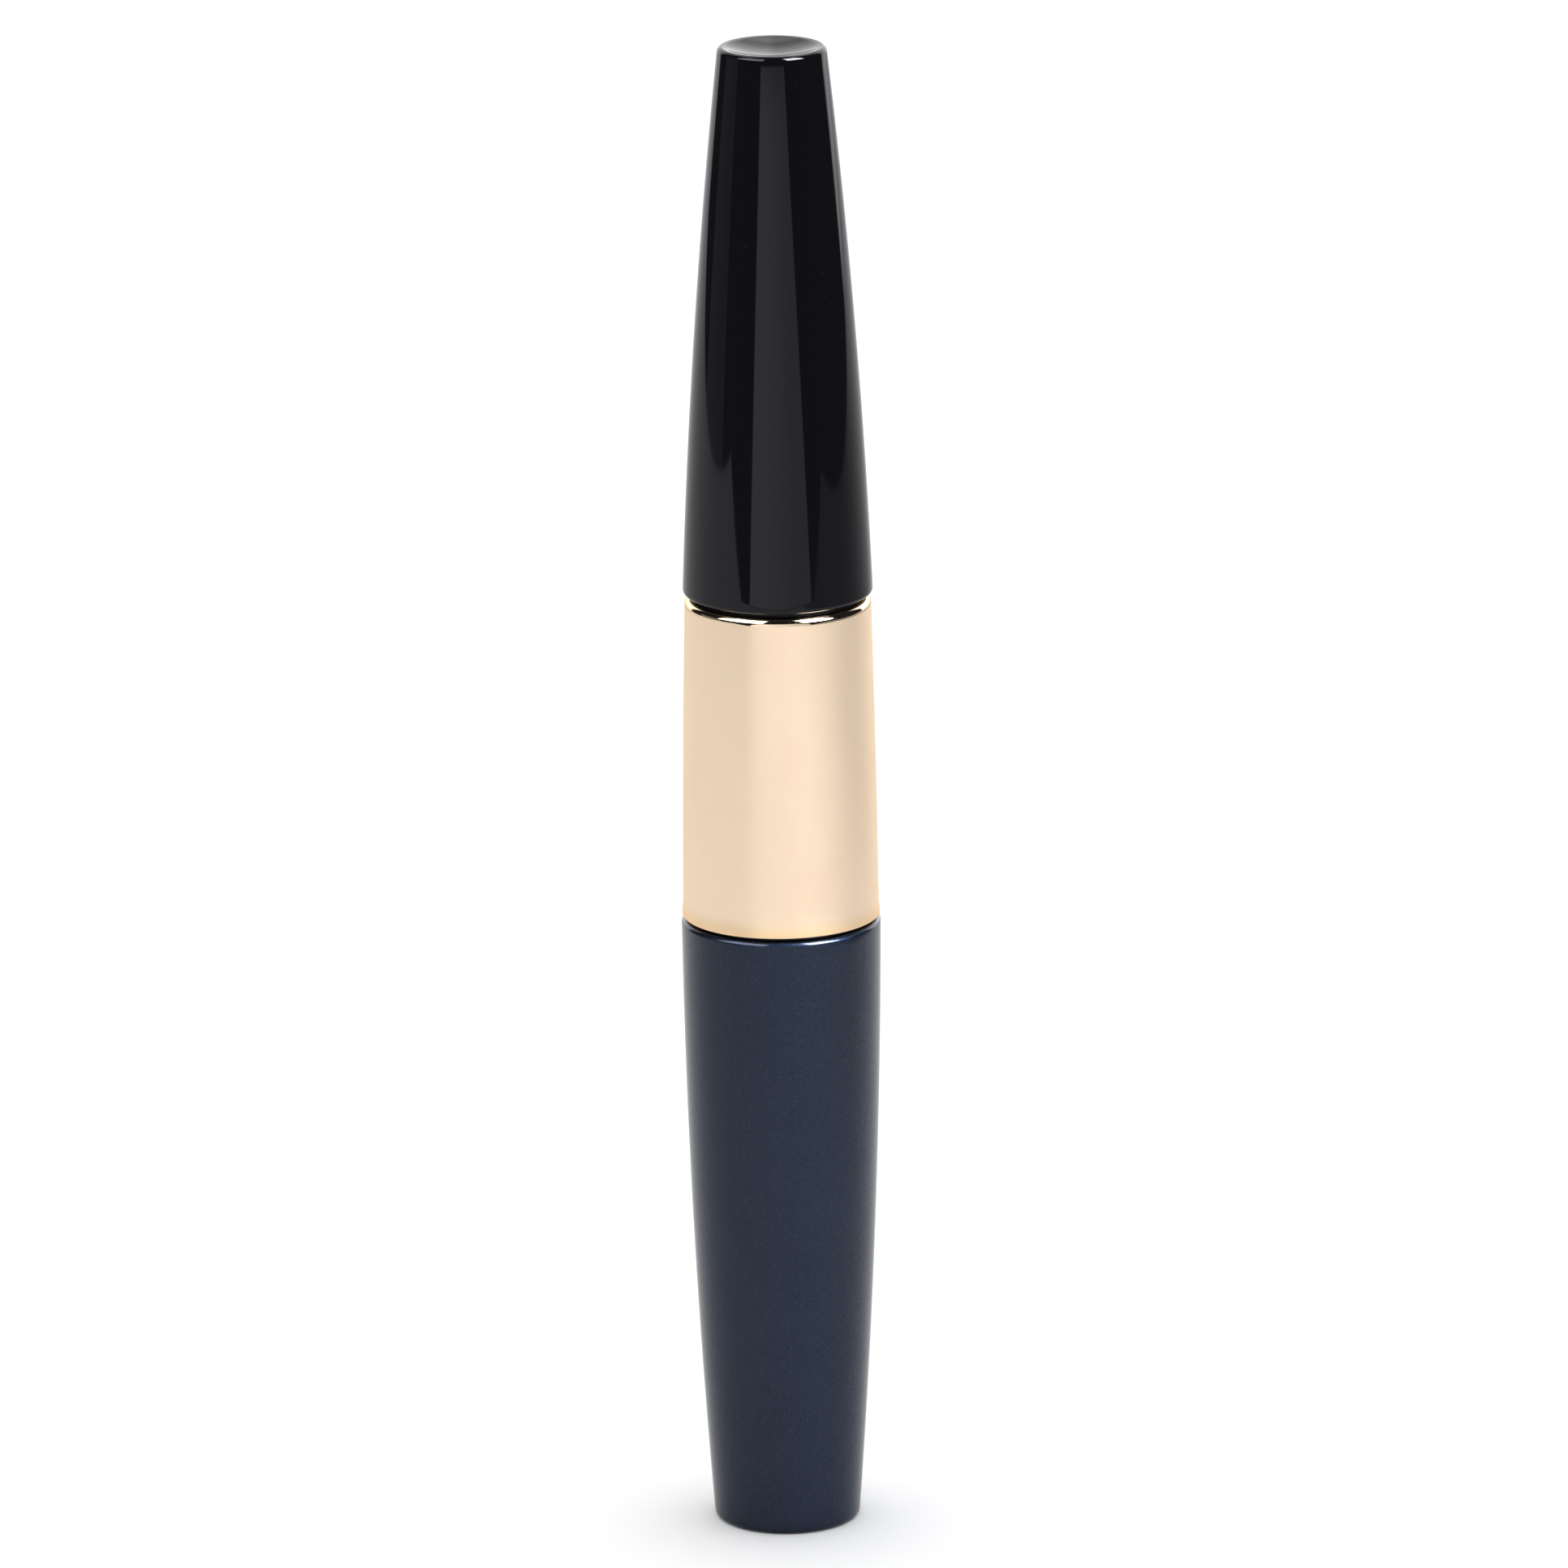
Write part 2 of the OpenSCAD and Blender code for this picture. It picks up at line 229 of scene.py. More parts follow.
class Shader:
    """A node tree that is being built. Each call adds one node."""

    def __init__(self, owner):
        owner.use_nodes = True
        self.tree = owner.node_tree

    def add(self, kind, inputs=None, **settings):
        node = self.tree.nodes.new(kind)
        for key, value in settings.items():
            setattr(node, key, value)
        for key, value in (inputs or {}).items():
            if isinstance(value, bpy.types.NodeSocket):
                self.tree.links.new(value, node.inputs[key])
            else:
                node.inputs[key].default_value = value
        return node

    def math(self, operation, *values):
        return self.add("ShaderNodeMath", dict(enumerate(values)), operation=operation).outputs[0]

    def vector(self, operation, *values):
        made = self.add("ShaderNodeVectorMath", dict(enumerate(values)), operation=operation)
        return made.outputs[0]

    def remap(self, value, old, new=(0.0, 1.0)):
        """value from the range old to the range new, with soft ends."""
        made = self.add("ShaderNodeMapRange",
                        {"Value": value, "From Min": old[0], "From Max": old[1],
                         "To Min": new[0], "To Max": new[1]}, interpolation_type="SMOOTHSTEP")
        return made.outputs["Result"]

    def place(self, scale=(1, 1, 1)):
        """Position on the piece in millimetres, stretched by scale."""
        coordinates = self.add("ShaderNodeTexCoord").outputs["Object"]
        size = tuple(s / MM for s in scale)
        return self.vector("MULTIPLY", coordinates, size)

    def height(self):
        """Height on the piece in millimetres."""
        return self.add("ShaderNodeSeparateXYZ", {"Vector": self.place()}).outputs["Z"]

    def noise(self, feature_mm, stretch=(1, 1, 1), detail=2.0):
        return self.add("ShaderNodeTexNoise",
                        {"Vector": self.place(stretch), "Scale": 1 / feature_mm,
                         "Detail": detail}).outputs["Fac"]

    def cells(self, feature_mm):
        return self.add("ShaderNodeTexVoronoi",
                        {"Vector": self.place(), "Scale": 1 / feature_mm}).outputs

    def specks(self, spacing_mm, size, share):
        """1 on small spots: one in each cell whose random number is below share, and 0 between."""
        cells = self.cells(spacing_mm)
        chosen = self.add("ShaderNodeSeparateColor", {"Color": cells["Color"]}).outputs["Blue"]
        spot = self.remap(cells["Distance"], (size * 0.6, size), (1.0, 0.0))
        return self.math("MULTIPLY", spot, self.math("LESS_THAN", chosen, share))

    def bump(self, height, depth_mm):
        return self.add("ShaderNodeBump", {"Height": height, "Distance": depth_mm * MM,
                                           "Strength": 1.0}).outputs["Normal"]

    def mix(self, share, a, b):
        """Colour a at share 0 and colour b at share 1."""
        made = self.add("ShaderNodeMix", {"Factor": share}, data_type="RGBA")
        for name, value in (("A", a), ("B", b)):
            socket = next(s for s in made.inputs if s.name == name and s.type == "RGBA")
            if isinstance(value, bpy.types.NodeSocket):
                self.tree.links.new(value, socket)
            else:
                socket.default_value = (*value, 1)
        return next(s for s in made.outputs if s.type == "RGBA")


def material(name, **inputs):
    """A new material, its Shader and its principled shader with these inputs set."""
    made = bpy.data.materials.new(name)
    shader = Shader(made)
    surface = shader.tree.nodes["Principled BSDF"]
    for key, value in inputs.items():
        socket = surface.inputs[key.replace("_", " ")]
        socket.default_value = (*value, 1) if socket.type == "RGBA" else value
    return made, shader, surface


def connect(shader, surface, **outputs):
    for key, value in outputs.items():
        shader.tree.links.new(value, surface.inputs[key.replace("_", " ")])


# ---------------------------------------------------------------- materials

def gloss_black():
    """Moulded high-gloss black with a slow waviness, faint wiping marks and a few grains of dust."""
    made, sh, surface = material("gloss_black_plastic", IOR=1.46)
    dust = sh.specks(1.6, 0.035, 0.5)
    base = sh.mix(dust, (0.0078, 0.0083, 0.0111), (0.06, 0.06, 0.065))
    smear = sh.noise(5, (1, 1, 0.3), 3.0)
    roughness = sh.remap(smear, (0.35, 0.8), (0.03, 0.07))
    waves = sh.noise(4, (1, 1, 0.5), 1.0)
    connect(sh, surface, Base_Color=base, Roughness=roughness, Normal=sh.bump(waves, 0.0015))
    return made


def gold(name, roughness, metallic, satin):
    """Champagne-gold anodised aluminium. The satin one has a few specks, and painted shade at its lower
    edge: a darker, more orange gold next to the seam.

    metallic is below 1 where the grain scatters part of the light evenly."""
    made, sh, surface = material(name, Metallic=metallic, Specular_Tint=(0.95, 0.82, 0.7))
    cloud = sh.remap(sh.noise(6, (1, 1, 0.6), 3.0), (0.3, 0.7))
    tint = sh.mix(cloud, (0.97, 0.79, 0.605), (0.98, 0.81, 0.625))
    if satin:
        # Painted shade: the gold turns darker and more orange towards the lower edge, in place of the
        # shade and dark reflections by the seam
        painted_seam_shade = sh.remap(sh.height(), (COLLAR_Z0, COLLAR_Z0 + 1.6), (0.9, 0.0))
        tint = sh.mix(painted_seam_shade, tint, (0.97, 0.73, 0.46))
        tint = sh.mix(sh.specks(0.7, 0.06, 0.1), tint, (0.8, 0.64, 0.49))
    grain = sh.noise(0.09, (1, 1, 0.5), 2.0)
    connect(sh, surface, Base_Color=tint, Roughness=sh.remap(grain, (0.3, 0.7), roughness))
    return made


def navy_pearl():
    """Navy lacquer with fine metallic flake under a clear coat."""
    made, sh, surface = material("navy_pearl_lacquer", Coat_Weight=1.0, Coat_Roughness=0.04,
                                 Coat_IOR=1.46, Metallic=1.0)
    flakes = sh.cells(0.07)
    parts = sh.add("ShaderNodeSeparateColor", {"Color": flakes["Color"]}).outputs
    cloud = sh.remap(sh.noise(7, (1, 1, 0.7), 2.0), (0.3, 0.7))
    deep = sh.mix(cloud, (0.0185, 0.0305, 0.061), (0.021, 0.0335, 0.066))
    pearl = sh.mix(sh.remap(parts["Red"], (0.5, 1.0), (0.0, 0.45)), deep, (0.046, 0.062, 0.1))
    base = sh.mix(sh.specks(0.16, 0.3, 0.3), pearl, (0.055, 0.08, 0.125))
    flake_tilt = 0.16
    tilt = sh.vector("SUBTRACT", flakes["Color"], (0.5, 0.5, 0.5))
    tilt = sh.vector("MULTIPLY", tilt, (flake_tilt, flake_tilt, flake_tilt))
    normal = sh.add("ShaderNodeNewGeometry").outputs["Normal"]
    flake_normal = sh.vector("NORMALIZE", sh.vector("ADD", normal, tilt))
    roughness = sh.remap(parts["Green"], (0.0, 1.0), (0.34, 0.42))
    connect(sh, surface, Base_Color=base, Roughness=roughness, Normal=flake_normal)
    return made


def satin_black(name="satin_black_plastic"):
    made, sh, surface = material(name, IOR=1.49)
    grain = sh.noise(0.12, detail=3.0)
    cloud = sh.noise(4)
    base = sh.mix(sh.remap(cloud, (0.3, 0.7)), (0.009, 0.009, 0.01), (0.014, 0.014, 0.016))
    roughness = sh.remap(grain, (0.3, 0.7), (0.34, 0.46))
    connect(sh, surface, Base_Color=base, Roughness=roughness, Normal=sh.bump(grain, 0.004))
    return made


def milky(name, low, high, roughness, subsurface):
    """Natural polypropylene or polyethylene: pale, a little translucent."""
    made, sh, surface = material(name, IOR=1.49, Subsurface_Weight=subsurface,
                                 Subsurface_Radius=(0.0012, 0.001, 0.0008), Subsurface_Scale=1.0)
    cloud = sh.noise(2.5, detail=3.0)
    grain = sh.noise(0.1, detail=2.0)
    connect(sh, surface, Base_Color=sh.mix(sh.remap(cloud, (0.3, 0.7)), low, high),
            Roughness=sh.remap(grain, (0.3, 0.7), roughness), Normal=sh.bump(grain, 0.002))
    return made


def paste():
    """Thick wet mascara."""
    made, sh, surface = material("mascara_paste", IOR=1.45)
    lumps = sh.noise(0.8, detail=4.0)
    base = sh.mix(sh.remap(lumps, (0.3, 0.7)), (0.003, 0.003, 0.0035), (0.007, 0.0065, 0.0065))
    connect(sh, surface, Base_Color=base, Roughness=sh.remap(lumps, (0.3, 0.7), (0.12, 0.3)),
            Normal=sh.bump(lumps, 0.12))
    return made


def steel():
    made, sh, surface = material("twisted_steel", Metallic=1.0)
    lines = sh.noise(0.05, (1, 1, 0.1), 3.0)
    base = sh.mix(sh.remap(lines, (0.3, 0.7)), (0.5, 0.5, 0.51), (0.62, 0.62, 0.63))
    connect(sh, surface, Base_Color=base, Roughness=sh.remap(lines, (0.3, 0.7), (0.2, 0.34)),
            Normal=sh.bump(lines, 0.002))
    return made


def nylon():
    """Black nylon fibre with a film of mascara on it."""
    made, sh, surface = material("bristle_nylon", IOR=1.53, Coat_Weight=0.4, Coat_Roughness=0.2)
    film = sh.noise(0.5, detail=3.0)
    base = sh.mix(sh.remap(film, (0.35, 0.65)), (0.006, 0.006, 0.0065), (0.016, 0.015, 0.015))
    connect(sh, surface, Base_Color=base, Roughness=sh.remap(film, (0.3, 0.7), (0.22, 0.5)))
    return made


def label_film():
    """Blank printed film."""
    made, sh, surface = material("blank_label", IOR=1.5)
    fibre = sh.noise(0.2, detail=4.0)
    base = sh.mix(sh.remap(fibre, (0.3, 0.7)), (0.78, 0.77, 0.74), (0.84, 0.83, 0.8))
    connect(sh, surface, Base_Color=base, Roughness=sh.remap(fibre, (0.3, 0.7), (0.35, 0.5)),
            Normal=sh.bump(fibre, 0.004))
    return made


# ---------------------------------------------------------------- bottle and vial

def navy_bottle():
    flank, inner_round = BOTTLE_FLANK, 0.4
    foot_r = flank_radius(flank, BOTTLE_Z0)
    top_r = flank_radius(flank, BOTTLE_Z1)
    outline = [
        (RECESS_R, BOTTLE_Z0, EDGE), (foot_r, BOTTLE_Z0, FOOT_ROUND),
        *flank_curve(flank, BOTTLE_Z0 + 2 * FOOT_ROUND, BOTTLE_Z1 - 1),
        (top_r, BOTTLE_Z1, BOTTLE_TOP_ROUND), (top_r - BOTTLE_WALL, BOTTLE_Z1, EDGE),
        *flank_curve(flank, BOTTLE_Z1 - 1, BOTTLE_FLOOR + 1, BOTTLE_WALL),
        (flank_radius(flank, BOTTLE_FLOOR) - BOTTLE_WALL, BOTTLE_FLOOR, inner_round),
        (0, BOTTLE_FLOOR), (0, LABEL_Z1), (RECESS_R, LABEL_Z1, EDGE / 2)]
    return piece("navy_bottle", [lathe(outline)], "bottle", "bottle_shell",
                 [navy_pearl()])


def foot_film():
    edge_r = radius("base_label")
    outline = [(0, LABEL_Z0), (edge_r, LABEL_Z0, 0.03), (edge_r, LABEL_Z1, 0.02), (0, LABEL_Z1)]
    return piece("foot_film", [lathe(outline)], "bottle", "base_label",
                 [label_film()])


def thread(z0, z1, z_zero, r_wall, r_crest):
    """Helical ridge of a screw thread. Its angle is 0 at height z_zero and its ends fade into the wall."""
    side = 1 if r_crest > r_wall else -1
    root = r_wall - side * SINK
    per_turn, fade_turn, end_share = 96, 30 / 360, 0.12
    turns = (z1 - z0) / THREAD_LEAD
    steps = math.ceil(per_turn * turns)
    # Share of the ridge's height and half its width there, with soft corners at root and crest
    profile = [(0, 0.5 * RIDGE_ROOT_W), (0.12, 0.44 * RIDGE_ROOT_W), (0.85, 0.58 * RIDGE_CREST_W),
               (1, 0.42 * RIDGE_CREST_W)]
    profile += [(height, -width) for height, width in reversed(profile)]
    sections = []
    for i in range(steps + 1):
        share = i / steps
        angle = 2 * math.pi * ((z0 - z_zero) / THREAD_LEAD + turns * share)
        from_end = turns * min(share, 1 - share)
        raised = min(1, end_share + (1 - end_share) * from_end / fade_turn)
        crest = root + (r_crest - root) * raised
        z = z0 + (z1 - z0) * share
        sections.append([((root + (crest - root) * h) * math.cos(angle),
                          (root + (crest - root) * h) * math.sin(angle), z - side * w)
                         for h, w in profile])
    return ring_strip(sections)


def vial_radius(z):
    foot_r, top_r = 5.2, 7.2
    return foot_r + (top_r - foot_r) * (z - VIAL_Z0) / (VIAL_FLANGE_Z0 - VIAL_Z0)


def threaded_vial():
    flange_z1, flange_r = BOTTLE_Z1 - 0.1, 7.8
    shoulder_z, bore_z = BOTTLE_Z1 - 5, BOTTLE_Z1 - 2.5
    inside_z, corner = VIAL_Z0 + 1, 0.4
    outline = [
        (0, VIAL_Z0), (vial_radius(VIAL_Z0) - VIAL_CHAMFER, VIAL_Z0, corner),
        (vial_radius(VIAL_Z0), VIAL_Z0 + VIAL_CHAMFER, 0.6),
        (vial_radius(VIAL_FLANGE_Z0), VIAL_FLANGE_Z0, 0.05), (flange_r, VIAL_FLANGE_Z0, EDGE),
        (flange_r, flange_z1, EDGE), (NECK_R, flange_z1, 0.15), (NECK_R, NECK_Z1, 0.25),
        (NECK_BORE_R, NECK_Z1, 0.15), (NECK_BORE_R, bore_z, corner),
        (vial_radius(shoulder_z) - VIAL_WALL, shoulder_z, corner),
        (vial_radius(inside_z + VIAL_CHAMFER) - VIAL_WALL, inside_z + VIAL_CHAMFER, corner),
        (vial_radius(inside_z) - VIAL_WALL - VIAL_CHAMFER, inside_z, corner), (0, inside_z)]
    ridge = thread(NECK_THREAD_Z0, NECK_THREAD_Z1, NECK_THREAD_Z0, NECK_R, NECK_R + RIDGE_H)
    look = milky("natural_polypropylene", (0.66, 0.64, 0.6), (0.74, 0.72, 0.68), (0.28, 0.4), 0.35)
    return piece("threaded_vial", [lathe(outline), ridge], "bottle", "inner_vial",
                 [look])


BRUSH_R = radius("brush_bristles")


def brush_profile(t):
    """Radius of the brush at share t of its length, from its tip to its heel."""
    tip, widest, heel, peak = 2.0, BRUSH_R, 2.6, 0.68
    if t < peak:
        return tip + (widest - tip) * math.sin(0.5 * math.pi * t / peak)
    return heel + (widest - heel) * math.cos(0.5 * math.pi * (t - peak) / (1 - peak))


def mascara_paste():
    """Paste in the vial, with a channel that follows the rod and the brush."""
    gap, brush_gap, channel_points = 0.3, 0.24, 12
    least_r, most_r, ease = 2, 3.75, 0.05
    rod_channel = ROD_R + gap
    brush_wall = []
    for i in range(channel_points):
        t = i / (channel_points - 1)
        r = max(brush_profile(t), least_r) + ease
        brush_wall.append((min(r, most_r) + brush_gap, BRUSH_Z0 + (BRUSH_Z1 - BRUSH_Z0) * t))
    outline = [
        (0, FILL_Z0), (vial_radius(FILL_Z0) - VIAL_WALL - VIAL_CHAMFER, FILL_Z0, 0.4),
        (vial_radius(FILL_Z0 + VIAL_CHAMFER) - VIAL_WALL, FILL_Z0 + VIAL_CHAMFER, 0.4),
        (vial_radius(FILL_Z1) - VIAL_WALL, FILL_Z1, 0.1),
        (rod_channel + 1.2, FILL_Z1 - 0.5, 0.4), (rod_channel, FILL_Z1 - 0.9, 0.3),
        (rod_channel, BRUSH_Z1 + 1, 0.2), *reversed(brush_wall),
        (WIRE_R + gap, BRUSH_Z0 - gap), (WIRE_R + gap, WIRE_Z0 - gap, 0.2), (0, WIRE_Z0 - gap)]
    return piece("mascara_paste", [lathe(outline, SLIM_TURN_STEPS)], "bottle", "mascara_fill",
                 [paste()])


def wiper_funnel():
    flange_r, wall, lip, hole_r = 5.8, 0.6, 0.5, 2.2
    sleeve_z0 = BOTTLE_Z1 + 1.5
    sleeve_r = NECK_BORE_R - wall
    outline = [
        (hole_r, WIPER_Z0, 0.1), (hole_r + lip, WIPER_Z0, 0.12), (NECK_BORE_R, sleeve_z0, 0.5),
        (NECK_BORE_R, NECK_Z1), (flange_r, NECK_Z1, EDGE), (flange_r, WIPER_Z1, 0.2),
        (sleeve_r, WIPER_Z1, 0.35), (sleeve_r, sleeve_z0 + lip, 0.5), (hole_r, WIPER_Z0 + lip, 0.15)]
    look = milky("wiper_polyethylene", (0.62, 0.6, 0.55), (0.7, 0.68, 0.63), (0.35, 0.5), 0.25)
    return piece("wiper_funnel", [lathe(outline)], "bottle", "wiper", [look])


# ---------------------------------------------------------------- slip ring and washer

def black_slip_ring():
    ring_r, bore_r, hub_r = radius("slip_ring"), NECK_R + 0.15, NECK_R + 0.6
    flange_z1 = COLLAR_Z0 - RING_GAP
    outline = [(bore_r, RING_Z0, 0.05), (ring_r, RING_Z0, 0.08), (ring_r, flange_z1, 0.08),
               (hub_r, flange_z1, 0.1), (hub_r, RING_Z1, EDGE), (bore_r, RING_Z1, EDGE)]
    return piece("black_slip_ring", [lathe(outline)], "ring", "slip_ring",
                 [satin_black()])


def sealing_washer():
    edge_r, bore_r, corner = radius("seal_liner"), ROD_R + 0.1, 0.15
    outline = [(bore_r, LINER_Z0, corner), (edge_r, LINER_Z0, corner), (edge_r, LINER_Z1, corner),
               (bore_r, LINER_Z1, corner)]
    look = milky("liner_polyethylene", (0.72, 0.72, 0.69), (0.8, 0.8, 0.77), (0.45, 0.6), 0.2)
    return piece("sealing_washer", [lathe(outline)], "liner", "seal_liner",
                 [look])


# ---------------------------------------------------------------- cap

def gloss_cap():
    flank = CAP_FLANK
    rim_r = flank_radius(flank, CAP_Z1)
    peak_r = rim_r - RIM_ROUND - DISH_EDGE_IN
    dish_r = (peak_r ** 2 + DISH_DEPTH ** 2) / (2 * DISH_DEPTH)
    dish_angle = math.asin(peak_r / dish_r)
    dish_points, straight_z0, straight_z1 = 24, CAP_Z0 + 1.2, CAP_Z1 - 1
    dish = []
    for i in range(1, dish_points + 1):
        angle = dish_angle * (1 - i / dish_points)
        dish.append((dish_r * math.sin(angle), CAP_Z1 - DISH_DEPTH + dish_r * (1 - math.cos(angle))))
    inside_z = CAP_Z1 - CAP_TOP - DISH_DEPTH
    outline = [
        (flank_radius(flank, CAP_Z0), CAP_Z0, HEM_ROUND),
        *flank_curve(flank, straight_z0, straight_z1), (rim_r, CAP_Z1, RIM_ROUND),
        (peak_r, CAP_Z1, DISH_EDGE_ROUND), *dish, (0, inside_z),
        (flank_radius(flank, inside_z) - CAP_WALL, inside_z, 0.4),
        *flank_curve(flank, inside_z - 1, CAP_Z0 + 1, CAP_WALL),
        (flank_radius(flank, CAP_Z0) - CAP_WALL, CAP_Z0, EDGE)]
    return piece("gloss_cap", [lathe(outline)], "cap", "cap_shell",
                 [gloss_black()])


def gold_band():
    """The collar. Its flank is satin with a flared lower edge, and its shoulder is polished."""
    flank = COLLAR_FLANK
    edge_r = radius("gold_collar")
    flare_z = COLLAR_Z0 + FLARE_H
    polish_z = COLLAR_Z1 - POLISH_H
    lip_round, flare_start, flare_end = 0.06, 0.6, 5.0
    outline = [
        (COLLAR_BORE_R, COLLAR_Z0, EDGE), (edge_r, COLLAR_Z0, lip_round),
        (edge_r, COLLAR_Z0 + FLARE_EDGE_H, flare_start),
        (flank_radius(flank, flare_z), flare_z, flare_end),
        *flank_curve(flank, flare_z + 0.4, polish_z),
        (flank_radius(flank, COLLAR_Z1), COLLAR_Z1, SHOULDER_ROUND), (COLLAR_BORE_R, COLLAR_Z1, EDGE)]
    satin = gold("satin_gold_aluminium", (0.33, 0.38), 0.64, satin=True)
    polished = gold("polished_gold_aluminium", (0.05, 0.08), 1.0, satin=False)
    made = piece("gold_band", [lathe(outline)], "cap", "gold_collar",
                 [satin, polished])
    for face in made.data.polygons:
        face.material_index = int(face.center.z > polish_z * MM)
    return made


def box_part(x0, x1, y0, y1, z0, z1):
    corners = [(x, y, z) for z in (z0, z1) for x, y in ((x0, y0), (x1, y0), (x1, y1), (x0, y1))]
    faces = [(0, 3, 2, 1), (4, 5, 6, 7), (0, 1, 5, 4), (1, 2, 6, 5), (2, 3, 7, 6), (3, 0, 4, 7)]
    return corners, faces


def turned_about_axis(part, angle):
    vertices, faces = part
    c, s = math.cos(angle), math.sin(angle)
    return [(x * c - y * s, x * s + y * c, z) for x, y, z in vertices], faces


def cap_insert():
    """Inner cap: threaded skirt, ceiling, boss with ribs for the rod, and a plug inside the cap."""
    skirt_r, core_r, boss_r, recess_r = NECK_R + THREAD_GAP + RIDGE_H, 6.3, 3.4, 7.5
    ceiling_z, floor_z = LINER_Z1 + 0.1, LINER_Z1 + 1.6
    boss_z1 = floor_z + 13.4
    plug_gap, plug_wall = 0.05, 1.15
    outer = CAP_WALL + plug_gap
    inner = outer + plug_wall
    rib_w, rib_h, end_gap = 0.9, 9, 0.1
    outline = [
        (ROD_R + FIT, ceiling_z, 0.1), (skirt_r, ceiling_z, 0.2), (skirt_r, INSERT_Z0, 0.2),
        (COLLAR_BORE_R - FIT, INSERT_Z0, EDGE), (COLLAR_BORE_R - FIT, COLLAR_Z1),
        (recess_r, COLLAR_Z1), (recess_r, CAP_Z0),
        *flank_curve(CAP_FLANK, CAP_Z0, INSERT_Z1 - 0.5, outer),
        (flank_radius(CAP_FLANK, INSERT_Z1) - outer, INSERT_Z1, 0.2),
        (flank_radius(CAP_FLANK, INSERT_Z1) - inner, INSERT_Z1, 0.2),
        *flank_curve(CAP_FLANK, INSERT_Z1 - 0.5, COLLAR_Z1, inner),
        (core_r, COLLAR_Z1), (core_r, floor_z, 0.3), (boss_r, floor_z, 0.2),
        (boss_r, boss_z1, 0.3), (0, boss_z1), (0, ROD_Z1 + FIT), (ROD_R + FIT, ROD_Z1 + FIT)]
    rib = box_part(boss_r - SINK, core_r + SINK, -rib_w / 2, rib_w / 2, floor_z - SINK, floor_z + rib_h)
    ribs = [turned_about_axis(rib, math.pi / 2 * i) for i in range(4)]
    rise = THREAD_LEAD * THREAD_TURNS
    ridge_z0 = NECK_THREAD_Z1 - rise + RIDGE_ROOT_W + end_gap
    ridge_z1 = LINER_Z0 - rise - RIDGE_ROOT_W / 2 - end_gap
    ridge = thread(ridge_z0, ridge_z1, NECK_THREAD_Z0 + THREAD_LEAD / 2, skirt_r, NECK_R + THREAD_GAP)
    return piece("cap_insert", [lathe(outline), ridge, *ribs], "cap", "inner_cap",
                 [satin_black("insert_polypropylene")])


# ---------------------------------------------------------------- wand

def wand_stem():
    step_z, chamfer = ROD_Z0 + 8, 0.4
    outline = [
        (WIRE_R, ROD_Z0, 0.08), (ROD_END_R - chamfer, ROD_Z0, 0.1),
        (ROD_END_R, ROD_Z0 + chamfer, 0.3), (ROD_END_R, step_z, 0.6), (ROD_R, step_z + 1, 0.8),
        (ROD_R, ROD_Z1 - chamfer, 0.2), (ROD_R - chamfer, ROD_Z1, 0.1), (0, ROD_Z1),
        (0, WIRE_Z1), (WIRE_R, WIRE_Z1)]
    return piece("wand_stem", [lathe(outline, SLIM_TURN_STEPS)], "cap", "wand_rod",
                 [satin_black("stem_polypropylene")])


def tube(path, radii, sides=8):
    """Skin of a round tube along a path in space, with a radius at each point."""
    sections = []
    side = Vector((1, 0, 0))
    for i, p in enumerate(path):
        ahead = path[min(i + 1, len(path) - 1)] - path[max(i - 1, 0)]
        ahead.normalize()
        side = (side - ahead * side.dot(ahead))
        if side.length < 1e-4:
            side = ahead.orthogonal()
        side.normalize()
        across = ahead.cross(side)
        sections.append([p + radii[i] * (math.cos(a) * side + math.sin(a) * across)
                         for a in (2 * math.pi * k / sides for k in range(sides))])
    return ring_strip(sections)


BRUSH_TURNS = 14


def twist(z):
    """Angle of the twisted wire and of the fibres that it holds, at a height."""
    return 2 * math.pi * BRUSH_TURNS * (z - BRUSH_Z0) / (BRUSH_Z1 - BRUSH_Z0)


def twisted_core():
    """Two wires twisted round each other."""
    strand_r, end_space, steps_per_mm = WIRE_R / 2, 0.02, 8
    steps = round((WIRE_Z1 - WIRE_Z0) * steps_per_mm)
    strands = []
    for side in (0, math.pi):
        path, radii = [], []
        for i in range(steps + 1):
            z = WIRE_Z0 + end_space + (WIRE_Z1 - WIRE_Z0 - 2 * end_space) * i / steps
            angle = twist(z) + side + math.pi / 2
            path.append(Vector((strand_r * math.cos(angle), strand_r * math.sin(angle), z)))
            radii.append(strand_r * 0.97 * min(1, 0.55 + 0.45 * i / 2))
        strands.append(tube(path, radii, 12))
    return piece("twisted_core", strands, "cap", "brush_wire", [steel()])


FIBRE_COUNT = 1500
FIBRE_R = 0.055
FIBRE_POINTS = 6
# How far the fibres stray: angle at the wire, rise at the tip in millimetres, sideways bend
ANGLE_STRAY = 0.14
RISE_STRAY = 0.22
BEND_STRAY = 0.06


